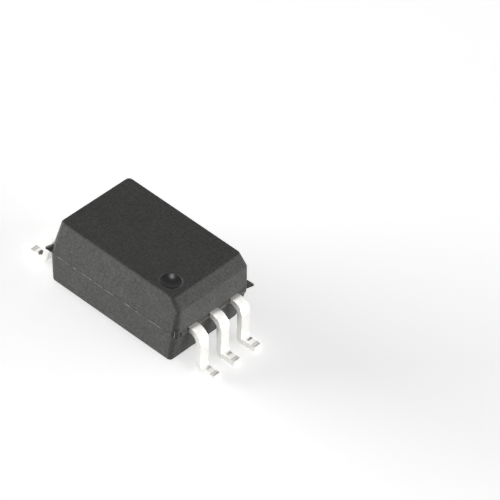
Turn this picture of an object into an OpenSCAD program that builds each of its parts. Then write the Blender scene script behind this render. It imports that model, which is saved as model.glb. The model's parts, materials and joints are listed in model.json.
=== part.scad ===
// Six-lead optocoupler in a stretched small-outline package.
// X runs across the two lead rows, Y along a row and Z up from the board.
// The origin is on the board under the middle of the body. Pin 1 is at +X, -Y, and the
// pins run anticlockwise from there when seen from above.

/* [Moulded body] */
// Length of the body across the lead rows, at the parting line
body_length = 6.81; // [6.5:0.01:7.4]
// Width of the body along the lead rows, at the parting line
body_width = 4.58; // [4.4:0.01:5.4]
// Height of the body half above the parting line
upper_height = 1.59; // [1.45:0.01:1.9]
// Height of the body half below the parting line
lower_height = 1.59; // [1.45:0.01:1.9]
// Draft of the mould walls, in degrees
draft = 7; // [4:0.5:9]
// Radius round the top face
top_edge_r = 0.09; // [0.05:0.01:0.15]
// Radius round the underside
bottom_edge_r = 0.18; // [0.1:0.01:0.2]
// Radius of the upright corners at the parting line
corner_r = 0.3; // [0.2:0.01:0.35]
// Radius of the upright corners at the top and the underside
end_corner_r = 0.21; // [0.2:0.01:0.3]
// Leg of the chamfer on the top edge over pins 1 to 3
pin_1_chamfer = 0.39; // [0.3:0.01:0.6]
// Depth of the witness groove between the two mould halves
parting_groove = 0.02; // [0.01:0.005:0.04]
// Diameter of the round-bottomed pin 1 dimple
dimple_d = 0.98; // [0.6:0.02:1.3]
// Depth of the pin 1 dimple
dimple_depth = 0.17; // [0.05:0.01:0.2]
// Distance from the dimple's centre to the two nearest edges of the top face
dimple_inset = 0.75; // [0.72:0.01:1.2]
// Diameter of the ejector recess in the underside
recess_d = 2.2; // [1.4:0.05:2.8]
// Depth of the ejector recess
recess_depth = 0.08; // [0.03:0.01:0.15]

/* [Resin flash] */
// Height of the ridge of resin along the leads, where it leaves the body
ridge_height = 0.32; // [0.28:0.01:0.4]
// Reach of that ridge beyond the body
ridge_reach = 0.09; // [0.05:0.01:0.15]
// Reach of the pointed vent flash at each corner
ear_reach = 0.27; // [0.1:0.01:0.3]
// Height of the vent flash where it leaves the body
ear_height = 0.36; // [0.2:0.01:0.4]
// Thickness of the vent flash
ear_thickness = 0.12; // [0.08:0.01:0.2]
// Height of the vent flash's middle over the parting line
ear_rise = 0.12; // [0:0.01:0.2]

/* [Leads] */
// Pitch of the leads in a row
lead_pitch = 1.27; // [1.2:0.01:1.35]
// Thickness of the lead frame
lead_thickness = 0.254; // [0.2:0.002:0.27]
// Width of a lead from the body to the heel
lead_width = 0.49; // [0.4:0.01:0.55]
// Width of the foot that is soldered down
foot_width = 0.38; // [0.3:0.01:0.4]
// Distance over the tips of opposite feet
tip_to_tip = 9.92; // [9.7:0.01:10.3]
// Gap between the board and the underside of the body
standoff = 0.16; // [0.1:0.01:0.3]
// Length of the foot from the heel bend to the tip
foot_length = 0.54; // [0.4:0.01:0.6]
// Radius inside the shoulder bend
shoulder_r = 0.376; // [0.3:0.002:0.45]
// Outward lean of the upright part of a lead, in degrees
leg_lean = 8.5; // [4:0.5:10]
// Radius inside the heel bend
heel_r = 0.14; // [0.1:0.01:0.2]

/* [Lead frame inside the body] */
// Width of a lead inside the body
tongue_width = 0.6; // [0.55:0.01:0.7]
// Distance from the body's end to where a lead widens
tongue_setback = 0.2; // [0.15:0.01:0.3]
// Length of the unconnected pin 2 inside the body
anchor_length = 0.8; // [0.6:0.01:1.2]
// Length of the ramp that lifts or drops a lead
ramp_length = 0.7; // [0.6:0.01:0.8]
// Length of the flat landing at the inner end of a lead
landing_length = 0.55; // [0.5:0.01:0.6]
// Side of the pad that carries the emitter chip
emitter_pad = 1.3; // [1.15:0.01:1.35]
// Side of the pad that carries the detector chip
detector_pad = 1.4; // [1.35:0.01:1.5]
// Gap between the detector pad and the landing of pin 5
pad_gap = 0.3; // [0.2:0.01:0.4]
// Height of the emitter pad's underside over the parting line
emitter_rise = 0.45; // [0.42:0.01:0.55]
// Depth of the detector pad's top below the parting line
detector_drop = 0.4; // [0.38:0.01:0.5]

/* [Chips and coupling] */
// Side of the light emitting chip
emitter_side = 0.3; // [0.2:0.01:0.35]
// Thickness of the light emitting chip
emitter_height = 0.15; // [0.1:0.01:0.16]
// Side of the detector chip
detector_side = 1.1; // [1.05:0.01:1.15]
// Thickness of the detector chip
detector_height = 0.25; // [0.2:0.01:0.26]
// Thickness of the adhesive under each chip
adhesive_height = 0.03; // [0.02:0.005:0.04]
// Diameter of the clear silicone that carries the light
silicone_d = 1.0; // [0.8:0.01:1.02]
// Side of the polyimide isolation film
film_side = 1.8; // [1.3:0.01:1.85]
// Thickness of the polyimide isolation film
film_height = 0.08; // [0.06:0.01:0.09]
// Height of the film's underside over the parting line
film_rise = 0.03; // [0.02:0.005:0.04]
// Diameter of the bond wires
wire_d = 0.03; // [0.025:0.005:0.04]
// Diameter of the balls and stitches that hold the wires
bond_d = 0.08; // [0.06:0.01:0.09]
// Height of those balls and stitches
bond_height = 0.025; // [0.02:0.005:0.03]

/* [Hidden] */
$fn = 64;
hull_fn = 32;
small_fn = 24;
arc_steps = 16;
// Thickness of what only marks a level inside a hull
thin = 0.001;

parting_z = standoff + lower_height;
top_z = parting_z + upper_height;
half_l = body_length / 2;
half_w = body_width / 2;
slope = tan(draft);
top_half_l = half_l - upper_height * slope;
top_half_w = half_w - upper_height * slope;

row_y = [for (i = [-1:1]) i * lead_pitch];
emitter_z = parting_z + emitter_rise;
detector_z = parting_z - detector_drop;
landing_x = detector_pad / 2;

// ---- Moulded body ----

// Radius of the ball whose cap is the dimple
dimple_ball_r = (dimple_d * dimple_d / 4 + dimple_depth * dimple_depth) / (2 * dimple_depth);

// Two rounded corners of a mould half: discs with an edge of radius r, tangent to the drafted
// walls. The middle of that edge is at +-x, and its far side is `up` from the parting line.
// `side` is +1 above the parting line and -1 below.
module corner_discs(side, up, r, x) {
    level = up - r;
    inset = end_corner_r - r;
    for (y = [-1, 1])
        translate([x - sign(x) * inset, y * (half_w - level * slope - r / cos(draft) - inset),
                   parting_z + side * level])
            rotate_extrude($fn = hull_fn) {
                translate([0, -r]) square([inset, 2 * r]);
                translate([inset, 0]) intersection() {
                    circle(r, $fn = hull_fn);
                    translate([0, -r]) square(2 * r);
                }
            }
}

// The four corners at the parting line: full size just off it, a little smaller on it, which
// leaves the witness groove.
module parting_corners(side) {
    for (x = [-1, 1], y = [-1, 1], inset = [0, parting_groove])
        translate([x * (half_l - corner_r - inset), y * (half_w - corner_r - inset),
                   parting_z + side * (parting_groove - inset)])
            mirror([0, 0, side < 0 ? 1 : 0])
                cylinder(r = corner_r, h = thin, $fn = hull_fn);
}

// Half length to the middle of an edge of radius r that touches the wall at that level.
function wall_x(level, r) = half_l - level * slope - r / cos(draft);

module upper_half() {
    r = top_edge_r;
    // the two edges of the chamfer, by the middles of their roundings
    chamfer_top = top_half_l - pin_1_chamfer - r * (sqrt(2) - 1);
    chamfer_drop = (pin_1_chamfer + r * sqrt(2) - r / cos(draft)) / (1 - slope);
    chamfer_level = upper_height - chamfer_drop;
    hull() {
        corner_discs(1, upper_height, r, -wall_x(upper_height - r, r));
        corner_discs(1, upper_height, r, chamfer_top);
        corner_discs(1, chamfer_level + r, r, wall_x(chamfer_level, r));
        parting_corners(1);
    }
}

module lower_half() {
    r = bottom_edge_r;
    hull() {
        for (x = [-1, 1]) corner_discs(-1, lower_height, r, x * wall_x(lower_height - r, r));
        parting_corners(-1);
    }
}

// Resin squeezed out between the leads, along both ends of the body. Its blunt edge is half as
// high as its root.
module resin_ridge() {
    h = ridge_height / 2;
    root = half_l - h * slope - parting_groove;
    for (side = [0, 180]) rotate([0, 0, side])
        translate([root, half_w - corner_r, parting_z]) rotate([90, 0, 0])
            linear_extrude(body_width - 2 * corner_r)
                polygon([[-corner_r, h], [0, h], [ridge_reach, h / 2],
                         [ridge_reach, -h / 2], [0, -h], [-corner_r, -h]]);
}

// Pointed fins of resin that the air vents leave at the four corners.
module vent_ears() {
    h = ear_height / 2;
    for (x = [-1, 1], y = [-1, 1])
        translate([x * (half_l - corner_r), y * (half_w - corner_r), parting_z + ear_rise])
            rotate([90, 0, atan2(y, x)])
                linear_extrude(ear_thickness, center = true)
                    polygon([[0, h], [corner_r, h], [corner_r + ear_reach, 0],
                             [corner_r, -h], [0, -h]]);
}

module package_body() color([0.13, 0.13, 0.13]) difference() {
    union() {
        upper_half();
        lower_half();
        resin_ridge();
        vent_ears();
    }
    translate([top_half_l - pin_1_chamfer - dimple_inset, -top_half_w + dimple_inset,
               top_z - dimple_depth + dimple_ball_r])
        sphere(dimple_ball_r);
    cylinder(d = recess_d, h = standoff + recess_depth);
    lead_1();
    lead_2();
    lead_3();
    lead_4();
    lead_5();
    lead_6();
    emitter_chip();
    emitter_adhesive();
    detector_chip();
    detector_adhesive();
    silicone_upper();
    silicone_lower();
    isolation_film();
    anode_wire();
    ground_wire();
    output_wire();
    supply_wire();
}

// ---- Leads ----

function arc(c, r, from, to) =
    [for (i = [0:arc_steps]) let (a = from + (to - from) * i / arc_steps)
        c + r * [cos(a), sin(a)]];

// The two bends, worked out from the tip inwards: the heel's centre and the shoulder's centre.
shoulder_outer_r = shoulder_r + lead_thickness;
heel = [tip_to_tip / 2 - foot_length, lead_thickness + heel_r];
shoulder_z = parting_z + lead_thickness / 2 - shoulder_outer_r;
leg_rise = shoulder_z - heel[1];
shoulder = [heel[0] - (shoulder_outer_r + heel_r + leg_rise * sin(leg_lean)) / cos(leg_lean),
            shoulder_z];
// Where a lead's part outside the body starts, a little way inside it.
lead_root = min(half_l - tongue_setback, shoulder[0]);

// Side view of a lead outside the body, as [distance from the middle, height].
gull_wing = let (t = lead_thickness, tip = tip_to_tip / 2)
    concat([[lead_root, parting_z + t / 2]],
           arc(shoulder, shoulder_outer_r, 90, leg_lean),
           arc(heel, heel_r, 180 + leg_lean, 270),
           [[tip, t], [tip, 0]],
           arc(heel, heel_r + t, 270, 180 + leg_lean),
           arc(shoulder, shoulder_r, leg_lean, 90),
           [[lead_root, parting_z - t / 2]]);

// Top view of a lead outside the body: full width to the heel, then the narrower foot.
lead_plan = let (a = lead_root, b = heel[0] - heel_r, c = heel[0], tip = tip_to_tip / 2,
                 w = lead_width / 2, f = foot_width / 2)
    [[a, -w], [b, -w], [c, -f], [tip, -f], [tip, f], [c, f], [b, w], [a, w]];

module lead_outside() {
    intersection() {
        translate([0, lead_width, 0]) rotate([90, 0, 0])
            linear_extrude(2 * lead_width) polygon(gull_wing);
        linear_extrude(parting_z + lead_thickness) polygon(lead_plan);
    }
}

// Strip of the frame inside the body, from its inner end at `from` out to the setback. It runs
// level, or steps by `shift` over a ramp that ends at from + landing_length.
module tongue(from, shift) {
    t = lead_thickness;
    out = half_l - tongue_setback;
    level = shift == 0 ? [[from, 0]]
          : [[from, shift], [from + landing_length, shift],
             [from + landing_length + ramp_length, 0]];
    edge = concat(level, [[out, 0]]);
    below = [for (i = [len(edge) - 1:-1:0]) edge[i] - [0, t]];
    translate([0, tongue_width / 2, parting_z + t / 2]) rotate([90, 0, 0])
        linear_extrude(tongue_width) polygon(concat(edge, below));
}

module lead(side, y, from, shift) {
    translate([0, y, 0]) mirror([side < 0 ? 1 : 0, 0, 0]) {
        lead_outside();
        tongue(from, shift);
    }
}

lift = emitter_rise + lead_thickness / 2;
drop = -detector_drop - lead_thickness / 2;
landing_start = landing_x - landing_length;

// Flat pad in the middle of the package, with the arm that joins it to its lead's landing.
module chip_pad(side, size, z) {
    translate([-size / 2, -size / 2, z]) cube([size, size, lead_thickness]);
    translate([min(side * landing_start, side * landing_x), 0, z])
        cube([landing_length, lead_pitch, lead_thickness]);
}

tin = [0.86, 0.85, 0.82];

module lead_1() color(tin) lead(1, row_y[0], landing_start, lift);
module lead_2() color(tin) lead(1, row_y[1], half_l - anchor_length, 0);
module lead_3() color(tin) {
    lead(1, row_y[2], landing_start, lift);
    chip_pad(1, emitter_pad, emitter_z);
}
module lead_4() color(tin) {
    lead(-1, row_y[2], landing_start, drop);
    chip_pad(-1, detector_pad, detector_z - lead_thickness);
}
module lead_5() color(tin) lead(-1, row_y[1], landing_x + pad_gap, drop);
module lead_6() color(tin) lead(-1, row_y[0], landing_start, drop);

// ---- Chips, adhesive, light path and wires ----

emitter_face = emitter_z - adhesive_height - emitter_height;
detector_face = detector_z + adhesive_height + detector_height;
film_z = parting_z + film_rise;

module square_slab(side, z, height) {
    translate([-side / 2, -side / 2, z]) cube([side, side, height]);
}

module emitter_chip() color([0.75, 0.55, 0.2])
    square_slab(emitter_side, emitter_face, emitter_height);
module emitter_adhesive() color("silver")
    square_slab(emitter_side, emitter_z - adhesive_height, adhesive_height);
module detector_chip() color([0.35, 0.38, 0.45])
    square_slab(detector_side, detector_z + adhesive_height, detector_height);
module detector_adhesive() color("silver")
    square_slab(detector_side, detector_z, adhesive_height);

module silicone_upper() color([0.9, 0.93, 0.95, 0.5]) difference() {
    translate([0, 0, film_z + film_height])
        cylinder(d = silicone_d, h = emitter_z - film_z - film_height);
    emitter_chip();
    emitter_adhesive();
    anode_wire();
}

module silicone_lower() color([0.9, 0.93, 0.95, 0.5])
    translate([0, 0, detector_face]) cylinder(d = silicone_d, h = film_z - detector_face);

module isolation_film() color([0.8, 0.5, 0.1, 0.7]) square_slab(film_side, film_z, film_height);

// Straight piece of wire with a round end at b.
module wire_run(a, b) {
    v = b - a;
    translate(a) rotate([0, acos(v[2] / norm(v)), atan2(v[1], v[0])])
        cylinder(d = wire_d, h = norm(v), $fn = small_fn);
    translate(b) sphere(d = knee_d, $fn = small_fn);
}

// Bond wire from point a on a chip to point b on the frame, which both face `up` (+1 or -1). It
// rises over a and bends down after `share` of its way.
module bond_wire(a, b, up, share = 0.15) {
    lift_a = a + [0, 0, up * bond_height];
    lift_b = b + [0, 0, up * bond_height];
    knee = a + [0, 0, up * wire_loop] + share * [b[0] - a[0], b[1] - a[1], 0];
    for (p = [a, b]) translate(p) mirror([0, 0, up < 0 ? 1 : 0])
        cylinder(d = bond_d, h = bond_height, $fn = small_fn);
    wire_run(lift_a, knee);
    wire_run(knee, lift_b);
}

gold = [0.85, 0.65, 0.2];
wire_loop = 0.09;
knee_d = 1.2 * wire_d;
bond_inset = detector_side / 2 - bond_d;
// The ground bond is on the rim that the pad leaves round its chip, close past the chip's edge
rim_bond = (detector_pad + detector_side) / 4;
rim_share = 0.6;

module anode_wire() color(gold)
    bond_wire([0, 0, emitter_face],
              [landing_x - landing_length / 2, row_y[0] + bond_d, emitter_z], -1);
module ground_wire() color(gold)
    bond_wire([bond_inset, bond_inset, detector_face], [rim_bond, rim_bond, detector_z], 1,
              rim_share);
module output_wire() color(gold)
    bond_wire([-bond_inset, bond_inset, detector_face],
              [-landing_x - pad_gap - bond_d, 0, detector_z], 1);
module supply_wire() color(gold)
    bond_wire([-bond_inset, -bond_inset, detector_face],
              [-landing_x + landing_length / 2, row_y[0] + bond_d, detector_z], 1);

package_body();
lead_1();
lead_2();
lead_3();
lead_4();
lead_5();
lead_6();
emitter_chip();
emitter_adhesive();
detector_chip();
detector_adhesive();
silicone_upper();
silicone_lower();
isolation_film();
anode_wire();
ground_wire();
output_wire();
supply_wire();
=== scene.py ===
"""Looks of the surface-mount optocoupler chip: rounded lead edges, parting flash, materials,
floor, light and camera round the CAD nodes."""

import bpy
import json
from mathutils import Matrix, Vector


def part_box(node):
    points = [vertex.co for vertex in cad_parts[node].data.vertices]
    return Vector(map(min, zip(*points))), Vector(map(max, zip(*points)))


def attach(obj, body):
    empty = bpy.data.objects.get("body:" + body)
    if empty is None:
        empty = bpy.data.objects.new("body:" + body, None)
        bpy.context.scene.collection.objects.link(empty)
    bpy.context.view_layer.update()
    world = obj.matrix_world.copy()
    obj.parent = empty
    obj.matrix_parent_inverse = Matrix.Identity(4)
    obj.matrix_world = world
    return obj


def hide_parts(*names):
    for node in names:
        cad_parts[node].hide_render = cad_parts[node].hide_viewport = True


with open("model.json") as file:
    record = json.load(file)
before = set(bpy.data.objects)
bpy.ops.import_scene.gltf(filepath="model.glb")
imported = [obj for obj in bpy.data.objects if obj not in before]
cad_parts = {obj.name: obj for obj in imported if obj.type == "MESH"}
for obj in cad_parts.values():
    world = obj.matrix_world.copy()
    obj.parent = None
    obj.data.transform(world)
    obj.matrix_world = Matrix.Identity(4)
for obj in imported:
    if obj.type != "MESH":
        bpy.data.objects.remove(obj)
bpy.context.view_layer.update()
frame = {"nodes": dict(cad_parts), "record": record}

import functools
import json
import math

import bmesh
import bpy
from mathutils import Matrix, Vector, noise as value_noise
from mathutils.bvhtree import BVHTree

MM = 0.001
NODES = frame["nodes"]
LEADS = [name for name in sorted(NODES) if name.startswith("lead_")]

LEAD_PITCH = 1.27 * MM

# The body's lowest and highest points, and the height of its parting line
body_low, body_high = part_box("package_body")
PARTING_Z = (body_low.z + body_high.z) / 2


# ---- Camera ----

AZIMUTH = math.radians(33.15)      # from the front, towards pin 1
ELEVATION = math.radians(41.18)
ROLL = math.radians(10.83)         # the camera is tilted clockwise
DISTANCE = 164.8 * MM
LENS = 295.7                       # a long lens on a 36 mm sensor
AIM_RIGHT, AIM_UP = 4.04 * MM, 0.74 * MM   # where the view's centre lies from the body's centre


def camera_axes():
    """The camera's right, up and back directions."""
    back = Vector((math.sin(AZIMUTH) * math.cos(ELEVATION),
                   -math.cos(AZIMUTH) * math.cos(ELEVATION),
                   math.sin(ELEVATION)))
    level = Vector((math.cos(AZIMUTH), math.sin(AZIMUTH), 0))
    upright = back.cross(level)
    right = math.cos(ROLL) * level + math.sin(ROLL) * upright
    up = -math.sin(ROLL) * level + math.cos(ROLL) * upright
    return right, up, back


def add_camera():
    right, up, back = camera_axes()
    place = Vector((0, 0, PARTING_Z)) + AIM_RIGHT * right + AIM_UP * up + DISTANCE * back
    data = bpy.data.cameras.new("camera")
    data.lens = LENS
    data.clip_start = 0.01
    data.clip_end = 10
    camera = bpy.data.objects.new("camera", data)
    bpy.context.scene.collection.objects.link(camera)
    camera.matrix_world = Matrix.Translation(place) @ Matrix((right, up, back)).transposed().to_4x4()
    bpy.context.scene.camera = camera


# ---- Pieces ----

WELD = 1e-5 * MM                   # points of a CAD mesh that lie this close are one
FLAT_ANGLE = 0.5                   # degrees between two facets up to which they are one face
SHARP_ANGLE = 30                   # degrees between two faces from which their edge is sheared
LEAD_EDGE_R, LEAD_EDGE_STEPS = 0.04 * MM, 3

FLASH_STEP = 0.03 * MM
FLASH_END = 0.55 * MM              # how far the flash stops short of the ends of the body's box
FLASH_HALF = 0.028 * MM            # half its height where it leaves the wall
FLASH_CREST = 0.2                  # how high its edge lies over its middle, as a share of that
FLASH_DROP = 0.012 * MM            # how far its middle lies under the parting line
FLASH_ROOT = 0.02 * MM             # how deep inside the wall it starts
FLASH_LIP = 0.004 * MM             # how far it stands out everywhere
FLASH_REACH = 0.034 * MM           # how much further its longest scraps stand out
FLASH_SCRAP = 0.35 * MM            # length of a scrap
FLASH_FRAY, FRAY_PITCH = 0.45, 3.1    # strength of the finer scraps, and how much finer they are
FLASH_GAIN = 1.8
FLASH_SEED = 7.3


def sharp_edges(mesh, degrees):
    """Edges of a bmesh where two faces meet at more than that angle."""
    limit = math.radians(degrees)
    return [edge for edge in mesh.edges if edge.is_manifold and edge.calc_face_angle() > limit]


def add_piece(name, mesh, slot, *replaced):
    """Object of that mesh, riding on the part. It stands for the CAD nodes that it replaces."""
    piece = bpy.data.objects.new(name, mesh)
    bpy.context.scene.collection.objects.link(piece)
    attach(piece, "root")
    if replaced:
        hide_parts(*replaced)
    for polygon in mesh.polygons:
        polygon.use_smooth = True
    weigh = piece.modifiers.new("weighted_normals", "WEIGHTED_NORMAL")
    weigh.weight = 100
    return piece


def clean_copy(node):
    """The node's own shape as a bmesh with whole flat faces."""
    shape = bmesh.new()
    shape.from_mesh(NODES[node].data)
    bmesh.ops.remove_doubles(shape, verts=shape.verts, dist=WELD)
    bmesh.ops.dissolve_limit(shape, angle_limit=math.radians(FLAT_ANGLE), verts=shape.verts,
                             edges=shape.edges)
    return shape


def rounded_lead(node):
    """A lead with the rounded edges that stamping and plating leave."""
    shape = clean_copy(node)
    bmesh.ops.bevel(shape, geom=sharp_edges(shape, SHARP_ANGLE), offset=LEAD_EDGE_R,
                    offset_type="OFFSET", segments=LEAD_EDGE_STEPS, profile=0.5, affect="EDGES",
                    clamp_overlap=True)
    mesh = bpy.data.meshes.new(node + "_plated")
    shape.to_mesh(mesh)
    shape.free()
    return add_piece(node + "_plated", mesh, "tinned_lead", node)


def wall(tree, origin, direction):
    """Where a ray from outside first meets the body."""
    hit = tree.ray_cast(Vector(origin), Vector(direction))[0]
    if hit is None:
        raise RuntimeError("no wall of the body at " + str(tuple(origin)))
    return hit


def flash_reach(along, side):
    """How far the flash stands out at a place on its line: a thin lip with longer scraps."""
    place = Vector((along / FLASH_SCRAP, side * FLASH_SEED, 0))
    scrap = max(0.0, value_noise.noise(place) + FLASH_FRAY * value_noise.noise(place * FRAY_PITCH))
    return FLASH_LIP + FLASH_REACH * min(1.0, FLASH_GAIN * scrap)


def parting_flash(side):
    """Ragged lip of resin along the parting line of a long side of the body."""
    body = NODES["package_body"].data
    tree = BVHTree.FromPolygons([v.co for v in body.vertices], [p.vertices for p in body.polygons])
    half = body_high.x - FLASH_END
    count = int(2 * half / FLASH_STEP)
    section = ((FLASH_HALF, 0), (FLASH_CREST * FLASH_HALF, 1), (-FLASH_HALF, 0))
    shape = bmesh.new()
    rings = []
    for i in range(count + 1):
        x = -half + 2 * half * i / count
        ring = []
        for rise, crest in section:
            z = PARTING_Z - FLASH_DROP + rise
            hit = wall(tree, (x, side * 2 * body_high.y, z), (0, -side, 0))
            out = flash_reach(x, side) if crest else -FLASH_ROOT
            ring.append(shape.verts.new((x, hit.y + side * out, z)))
        rings.append(ring)
    for first, second in zip(rings, rings[1:]):
        for k in range(len(section)):
            n = (k + 1) % len(section)
            shape.faces.new((first[k], first[n], second[n], second[k]))
    shape.faces.new(rings[0])
    shape.faces.new(rings[-1][::-1])
    bmesh.ops.recalc_face_normals(shape, faces=shape.faces)
    mesh = bpy.data.meshes.new("flash")
    shape.to_mesh(mesh)
    shape.free()
    name = "parting_flash_front" if side < 0 else "parting_flash_back"
    return add_piece(name, mesh, "mould_compound")


# ---- Materials ----

RESIN_DARK, RESIN_PALE = (0.064, 0.064, 0.062), (0.076, 0.076, 0.074)
RESIN_GLOSS = 0.1
GRAIN = [(0.32, (0.72, 0.72, 0.72)), (0.5, (1, 1, 1)), (0.7, (1.35, 1.34, 1.32))]
PARTING_HIGHLIGHT_COLOUR = (0.2, 0.196, 0.185)      # painted highlight along the lower lip of the parting line
STEP_SHADE_COLOUR = (0.025, 0.025, 0.024)    # painted shade of the step between the mould halves

# Polished floors: how deep they lie under the surface round them, and the Z of their normals
DIMPLE_DEPTHS, DIMPLE_SLOPES = (0.022 * MM, 0.3 * MM), (0.76, 1.1)
RECESS_DEPTHS, RECESS_SLOPES = (0.03 * MM, 0.3 * MM), (-1.1, -0.96)
POLISHED_EDGE = 0.004 * MM
POLISHED_COLOUR = (0.004, 0.004, 0.004)
POLISHED_COAT = 0.26
POLISHED_ROUGHNESS = 0.3
POLISHED_SMOOTHING = 0.55              # how much of the matte roughness is gone

PLATE_DARK, PLATE_PALE = (0.82, 0.81, 0.78), (0.90, 0.89, 0.86)
PLATE_METALLIC = 0.85                  # satin plate scatters a little light like paint
# colour of the marks on the feet and of the painted reflection in their heel bends
MARK_COLOUR = (0.06, 0.06, 0.06)
MARK_LIMIT = 0.95
MARK_SOFTNESS = 0.012 * MM

# Marks and a painted reflection on the tops of the feet: how far from the tip they start and end
FOOT_TOP = 0.27 * MM                   # height up to which a lead counts as foot
GRIPPED, GRIPPED_STRENGTH = (0, 0.21 * MM), 0.38
SHEARED, SHEARED_STRENGTH = (0, 0.065 * MM), 0.6
# Painted reflection of the dark body in the heel bend of each foot
HEEL_REFLECTED = (0.41 * MM, 0.51 * MM)
HEEL_REFLECTION_STRENGTH, HEEL_REFLECTION_GROWTH = 0.5, 0.25    # on the middle lead, and more for each lead on
# Dark patch on each foot of the -X row
MINUS_X_PATCH = (0.33 * MM, 0.55 * MM)

# Across a foot, as a share of the pitch with the foot's middle at 0.5
HEEL_REFLECTED_SIDE = (0.43, 1.0)
MINUS_X_PATCH_SIDE = (0.4, 0.58)
SIDE_SOFTNESS = 0.02
WHOLE_PITCHES = 10.5                   # keeps the share above 0, with the middle at 0.5


def new_material(name):
    """A material with its node tree and its Principled shader."""
    material = bpy.data.materials.new(name)
    material.use_nodes = True
    tree = material.node_tree
    return material, tree, tree.nodes["Principled BSDF"]


def add_node(tree, kind, **inputs):
    """A new node with its inputs set, _ standing for a space in their names."""
    node = tree.nodes.new(kind)
    for key, value in inputs.items():
        node.inputs[key.replace("_", " ")].default_value = value
    return node


def noise(tree, per_mm, detail=4.0, roughness=0.6):
    """Noise with that many grains to a millimetre, fixed to the object."""
    place = tree.nodes.new("ShaderNodeTexCoord")
    grain = add_node(tree, "ShaderNodeTexNoise", Scale=per_mm / MM, Detail=detail,
                     Roughness=roughness)
    tree.links.new(place.outputs["Object"], grain.inputs["Vector"])
    return grain.outputs["Fac"]


def ramp(tree, value, stops):
    """Colour ramp over value, with stops of (position, colour)."""
    node = tree.nodes.new("ShaderNodeValToRGB")
    elements = node.color_ramp.elements
    while len(elements) < len(stops):
        elements.new(0.5)
    for element, (position, colour) in zip(elements, stops):
        element.position = position
        element.color = (*colour, 1)
    tree.links.new(value, node.inputs["Fac"])
    return node.outputs["Color"]


def map_range(tree, value, low, high):
    """Value from 0 to 1 spread from low to high."""
    node = add_node(tree, "ShaderNodeMapRange", To_Min=low, To_Max=high)
    tree.links.new(value, node.inputs["Value"])
    return node.outputs["Result"]


def bump(tree, height, strength, depth_mm, below=None):
    """Normal of fine relief, laid over the normal below if there is one."""
    node = add_node(tree, "ShaderNodeBump", Strength=strength, Distance=depth_mm * MM)
    tree.links.new(height, node.inputs["Height"])
    if below:
        tree.links.new(below, node.inputs["Normal"])
    return node.outputs["Normal"]


def coordinate(tree, kind, axis):
    """X, Y or Z of the shaded point or of its normal, in the part's frame."""
    place = tree.nodes.new("ShaderNodeTexCoord")
    split = tree.nodes.new("ShaderNodeSeparateXYZ")
    tree.links.new(place.outputs[kind], split.inputs[0])
    return split.outputs[axis]


def maths(tree, operation, *values):
    """Result of a Math node on sockets or plain numbers."""
    node = tree.nodes.new("ShaderNodeMath")
    node.operation = operation
    for socket, value in zip(node.inputs, values):
        if isinstance(value, (int, float)):
            socket.default_value = value
        else:
            tree.links.new(value, socket)
    return node.outputs[0]


def fold(tree, operation, *values):
    """The same Math operation over any number of values."""
    return functools.reduce(lambda first, second: maths(tree, operation, first, second), values)


def band(tree, value, low, high, soft):
    """1 where value lies between low and high, falling to 0 over soft on each side."""
    rise = add_node(tree, "ShaderNodeMapRange", From_Min=low - soft, From_Max=low + soft)
    fall = add_node(tree, "ShaderNodeMapRange", From_Min=high - soft, From_Max=high + soft,
                    To_Min=1.0, To_Max=0.0)
    for node in (rise, fall):
        tree.links.new(value, node.inputs["Value"])
    return maths(tree, "MULTIPLY", rise.outputs["Result"], fall.outputs["Result"])


def mix_colour(tree, factor, first, second, blend="MIX"):
    """Mix of two colours, each a socket or three numbers. The factor is a socket or a number."""
    node = tree.nodes.new("ShaderNodeMix")
    node.data_type = "RGBA"
    node.blend_type = blend
    if isinstance(factor, (int, float)):
        node.inputs["Factor"].default_value = factor
    else:
        tree.links.new(factor, node.inputs["Factor"])
    for name, colour in (("A", first), ("B", second)):
        if isinstance(colour, tuple):
            node.inputs[name].default_value = (*colour, 1)
        else:
            tree.links.new(colour, node.inputs[name])
    return node.outputs["Result"]


def level_area(tree, lowest, highest, slopes, fade):
    """1 between two heights where the normal's Z lies within slopes."""
    layer = band(tree, coordinate(tree, "Object", "Z"), lowest, highest, POLISHED_EDGE)
    facing = band(tree, coordinate(tree, "Normal", "Z"), *slopes, fade)
    return maths(tree, "MULTIPLY", layer, facing)


def polished_areas(tree):
    """1 on the floors of the dimple and the ejector recess, which polished pins leave smooth."""
    top, low = body_high.z, body_low.z
    dimple = level_area(tree, top - DIMPLE_DEPTHS[1], top - DIMPLE_DEPTHS[0], DIMPLE_SLOPES, 0.02)
    recess = level_area(tree, low + RECESS_DEPTHS[0], low + RECESS_DEPTHS[1], RECESS_SLOPES, 0.01)
    return maths(tree, "MAXIMUM", dimple, recess)


def seam_mark(tree, low, high, soft, grain, level, fade):
    """1 along a strip that lies from low to high over the parting line, wherever the grain
    is above level."""
    strip = band(tree, coordinate(tree, "Object", "Z"), PARTING_Z + low, PARTING_Z + high, soft)
    return maths(tree, "MULTIPLY", strip, band(tree, grain, level, 1.0, fade))


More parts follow.
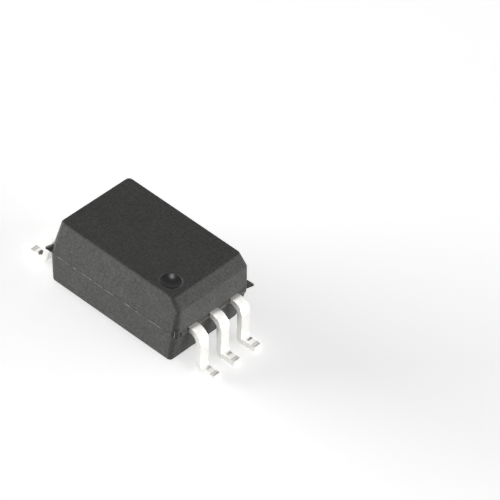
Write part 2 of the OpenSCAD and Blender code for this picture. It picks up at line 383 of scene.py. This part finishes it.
def mould_compound():
    """Black epoxy with the fine matte grain of a spark-eroded mould. It is smooth where pins
    polish it. It has a painted highlight just under the parting line and a painted shade just over it."""
    material, tree, shader = new_material("mould_compound")
    shader.inputs["Specular IOR Level"].default_value = RESIN_GLOSS
    shader.inputs["Coat Roughness"].default_value = POLISHED_ROUGHNESS
    polished = polished_areas(tree)
    patches = ramp(tree, noise(tree, 1.6, detail=6), [(0.3, RESIN_DARK), (0.7, RESIN_PALE)])
    colour = mix_colour(tree, 1.0, patches, ramp(tree, noise(tree, 11, detail=3), GRAIN), "MULTIPLY")
    # painted highlight in a broken strip just under the parting line, where the lip catches light
    parting_highlight = seam_mark(tree, -0.045 * MM, 0.004 * MM, soft=0.012 * MM,
                     grain=noise(tree, 3, detail=6, roughness=0.75), level=0.5, fade=0.06)
    colour = mix_colour(tree, parting_highlight, colour, PARTING_HIGHLIGHT_COLOUR)
    # painted shade in a broken strip just over the parting line, under the step between the mould
    # halves
    step_shade = seam_mark(tree, 0.012 * MM, 0.035 * MM, soft=0.01 * MM,
                     grain=noise(tree, 2, detail=5), level=0.44, fade=0.05)
    colour = mix_colour(tree, step_shade, colour, STEP_SHADE_COLOUR)
    tree.links.new(mix_colour(tree, polished, colour, POLISHED_COLOUR), shader.inputs["Base Color"])
    tree.links.new(maths(tree, "MULTIPLY", polished, POLISHED_COAT), shader.inputs["Coat Weight"])
    matte = map_range(tree, noise(tree, 9), 0.55, 0.75)
    kept = maths(tree, "SUBTRACT", 1.0, maths(tree, "MULTIPLY", polished, POLISHED_SMOOTHING))
    tree.links.new(maths(tree, "MULTIPLY", matte, kept), shader.inputs["Roughness"])
    coarse = bump(tree, noise(tree, 7, detail=5), 0.3, 0.02)
    fine = bump(tree, noise(tree, 26, detail=3), 0.35, 0.008, coarse)
    tree.links.new(fine, shader.inputs["Normal"])
    return material


def foot_marks(tree):
    """Dark marks on the tops of the feet: where the trimming tool gripped and sheared them near the
    tips, a painted reflection of the dark body in the heel bends, and a dark patch on the feet of the
    -X row.
    """
    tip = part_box(LEADS[0])[1].x
    x = coordinate(tree, "Object", "X")
    reach = maths(tree, "ABSOLUTE", x)
    row = maths(tree, "SIGN", x)
    along = maths(tree, "MULTIPLY", coordinate(tree, "Object", "Y"), row)
    pitches = maths(tree, "ADD", maths(tree, "DIVIDE", along, LEAD_PITCH), WHOLE_PITCHES)
    across = maths(tree, "FRACT", pitches)

    def strip(near, far):
        return band(tree, reach, tip - far, tip - near, MARK_SOFTNESS)

    gripped = maths(tree, "MULTIPLY", strip(*GRIPPED), GRIPPED_STRENGTH)
    sheared = maths(tree, "MULTIPLY", strip(*SHEARED), SHEARED_STRENGTH)
    # painted reflection of the dark body in the heel bend, darker on each lead further along
    heel_reflection = fold(tree, "MULTIPLY", strip(*HEEL_REFLECTED), band(tree, across, *HEEL_REFLECTED_SIDE, SIDE_SOFTNESS),
                   maths(tree, "MULTIPLY_ADD", along, HEEL_REFLECTION_GROWTH / LEAD_PITCH, HEEL_REFLECTION_STRENGTH))
    # a dark patch in the middle of each foot of the -X row
    minus_x_patch = fold(tree, "MULTIPLY", strip(*MINUS_X_PATCH), band(tree, across, *MINUS_X_PATCH_SIDE, SIDE_SOFTNESS),
                  maths(tree, "LESS_THAN", row, 0.0))
    marks = fold(tree, "MAXIMUM", gripped, sheared, heel_reflection, minus_x_patch)
    uneven = map_range(tree, noise(tree, 7), 0.1, 1.9)
    facing_up = band(tree, coordinate(tree, "Normal", "Z"), 0.6, 1.1, 0.1)
    on_foot = band(tree, coordinate(tree, "Object", "Z"), -1 * MM, FOOT_TOP, 0.01 * MM)
    marks = fold(tree, "MULTIPLY", marks, uneven, facing_up, on_foot)
    return maths(tree, "MINIMUM", maths(tree, "MAXIMUM", marks, 0.0), MARK_LIMIT)


def tinned_lead():
    """Satin tin plate with dark marks on the feet, among them a painted reflection in the heel bends.
    """
    material, tree, shader = new_material("tinned_lead")
    shader.inputs["Metallic"].default_value = PLATE_METALLIC
    plate = ramp(tree, noise(tree, 4, detail=6), [(0.3, PLATE_DARK), (0.7, PLATE_PALE)])
    marked = mix_colour(tree, foot_marks(tree), plate, MARK_COLOUR)
    tree.links.new(marked, shader.inputs["Base Color"])
    tree.links.new(map_range(tree, noise(tree, 12), 0.28, 0.42), shader.inputs["Roughness"])
    tree.links.new(bump(tree, noise(tree, 16), 0.12, 0.004), shader.inputs["Normal"])
    return material


def speckled(name, dark, light, per_mm, roughness, metallic=0.0, alpha=1.0):
    """Plain finish for a piece sealed inside the body."""
    material, tree, shader = new_material(name)
    shader.inputs["Roughness"].default_value = roughness
    shader.inputs["Metallic"].default_value = metallic
    shader.inputs["Alpha"].default_value = alpha
    speckles = ramp(tree, noise(tree, per_mm), [(0.3, dark), (0.7, light)])
    tree.links.new(speckles, shader.inputs["Base Color"])
    return material


def paint(materials, pieces):
    """Gives each CAD node the material of its slot in the record, and the pieces that of theirs."""
    for part in frame["record"]["subparts"]:
        node = NODES[part["node"]]
        node.data.materials.clear()
        node.data.materials.append(materials[part["material_slot"]])
    for slot, piece in pieces:
        piece.data.materials.clear()
        piece.data.materials.append(materials[slot])


# ---- Floor, light and backdrop ----

WHITE = (1, 1, 1, 1)
FLOOR_SIDE = 1.2
FLOOR_COLOUR = (0.9, 0.9, 0.9, 1)
FLOOR_GLOW = 0.52                  # added for the eye only
SKY_LEVEL = 0.17
SOFTBOX_DISTANCE = 150 * MM
MIDDLE = Vector((0, 0, PARTING_Z))
OVERHEAD_PLACE = Vector((0.06, -0.09, 0.994)) * 200 * MM    # a little towards the camera


def is_seen(tree):
    """1 for rays that show the background: from the camera, off gloss or through glass."""
    path = tree.nodes.new("ShaderNodeLightPath")
    return fold(tree, "MAXIMUM", path.outputs["Is Camera Ray"], path.outputs["Is Glossy Ray"],
                path.outputs["Is Transmission Ray"])


def add_floor():
    """Pale floor. To the eye it also glows, which whitens it and leaves the shadows on it."""
    bpy.ops.mesh.primitive_plane_add(size=FLOOR_SIDE)
    floor = bpy.context.object
    floor.name = "floor"
    material, tree, shader = new_material("floor")
    shader.inputs["Base Color"].default_value = FLOOR_COLOUR
    shader.inputs["Roughness"].default_value = 1.0
    shader.inputs["Specular IOR Level"].default_value = 0.0
    shader.inputs["Emission Color"].default_value = WHITE
    glow = map_range(tree, is_seen(tree), 0, FLOOR_GLOW)
    tree.links.new(glow, shader.inputs["Emission Strength"])
    floor.data.materials.append(material)


def beside(bearing, height):
    """Place of a side softbox. bearing is the angle from the front towards pin 1, in degrees."""
    turn = math.radians(bearing)
    return Vector((math.sin(turn), -math.cos(turn), 0)) * SOFTBOX_DISTANCE + Vector((0, 0, height))


def add_softbox(name, shape, place, aim, size, light_level):
    """Area light at place that faces aim and lights it to light_level, where 1 shows white as
    white."""
    data = bpy.data.lights.new(name, "AREA")
    data.shape = shape
    data.size, data.size_y = size
    reach = place - aim
    data.energy = light_level * math.pi ** 2 * reach.length_squared
    softbox = bpy.data.objects.new(name, data)
    bpy.context.scene.collection.objects.link(softbox)
    softbox.location = place
    softbox.rotation_euler = reach.to_track_quat("Z", "Y").to_euler()
    return softbox


def add_softboxes():
    """One on each side and one overhead, which adds highlights only."""
    add_softbox("softbox_left", "RECTANGLE", beside(-60, 17 * MM), MIDDLE, (130 * MM, 30 * MM), 2.3)
    add_softbox("softbox_right", "RECTANGLE", beside(116, 20 * MM), MIDDLE, (220 * MM, 36 * MM), 1.5)
    top = add_softbox("softbox_top", "DISK", OVERHEAD_PLACE, Vector(), (55 * MM, 55 * MM), 0.6)
    top.visible_diffuse = False


def add_world():
    """White to the eye, and a dim even light to the rest."""
    world = bpy.data.worlds.new("world")
    bpy.context.scene.world = world
    world.use_nodes = True
    tree = world.node_tree
    tree.nodes.clear()
    lit = add_node(tree, "ShaderNodeBackground", Color=WHITE, Strength=SKY_LEVEL)
    seen = add_node(tree, "ShaderNodeBackground", Color=WHITE, Strength=1.0)
    mix = tree.nodes.new("ShaderNodeMixShader")
    tree.links.new(is_seen(tree), mix.inputs[0])
    tree.links.new(lit.outputs[0], mix.inputs[1])
    tree.links.new(seen.outputs[0], mix.inputs[2])
    out = tree.nodes.new("ShaderNodeOutputWorld")
    tree.links.new(mix.outputs[0], out.inputs["Surface"])


plated_leads = [rounded_lead(node) for node in LEADS]
flash = [parting_flash(side) for side in (-1, 1)]
bpy.context.scene.view_settings.view_transform = "Standard"
add_camera()
add_floor()
add_world()
add_softboxes()
hidden_finishes = {
    "semiconductor": ((0.25, 0.27, 0.33), (0.32, 0.34, 0.4), 20, 0.25),
    "conductive_adhesive": ((0.5, 0.5, 0.5), (0.65, 0.65, 0.65), 60, 0.5),
    "clear_silicone": ((0.85, 0.9, 0.92), (0.95, 0.97, 0.98), 5, 0.2, 0.0, 0.4),
    "polyimide": ((0.68, 0.38, 0.07), (0.78, 0.48, 0.12), 10, 0.3),
    "gold_wire": ((0.8, 0.6, 0.2), (0.9, 0.72, 0.3), 40, 0.25, 1.0),
}
finishes = {"mould_compound": mould_compound(), "tinned_lead": tinned_lead()}
finishes.update({name: speckled(name, *looks) for name, looks in hidden_finishes.items()})
paint(finishes, [("tinned_lead", lead) for lead in plated_leads]
      + [("mould_compound", lip) for lip in flash])
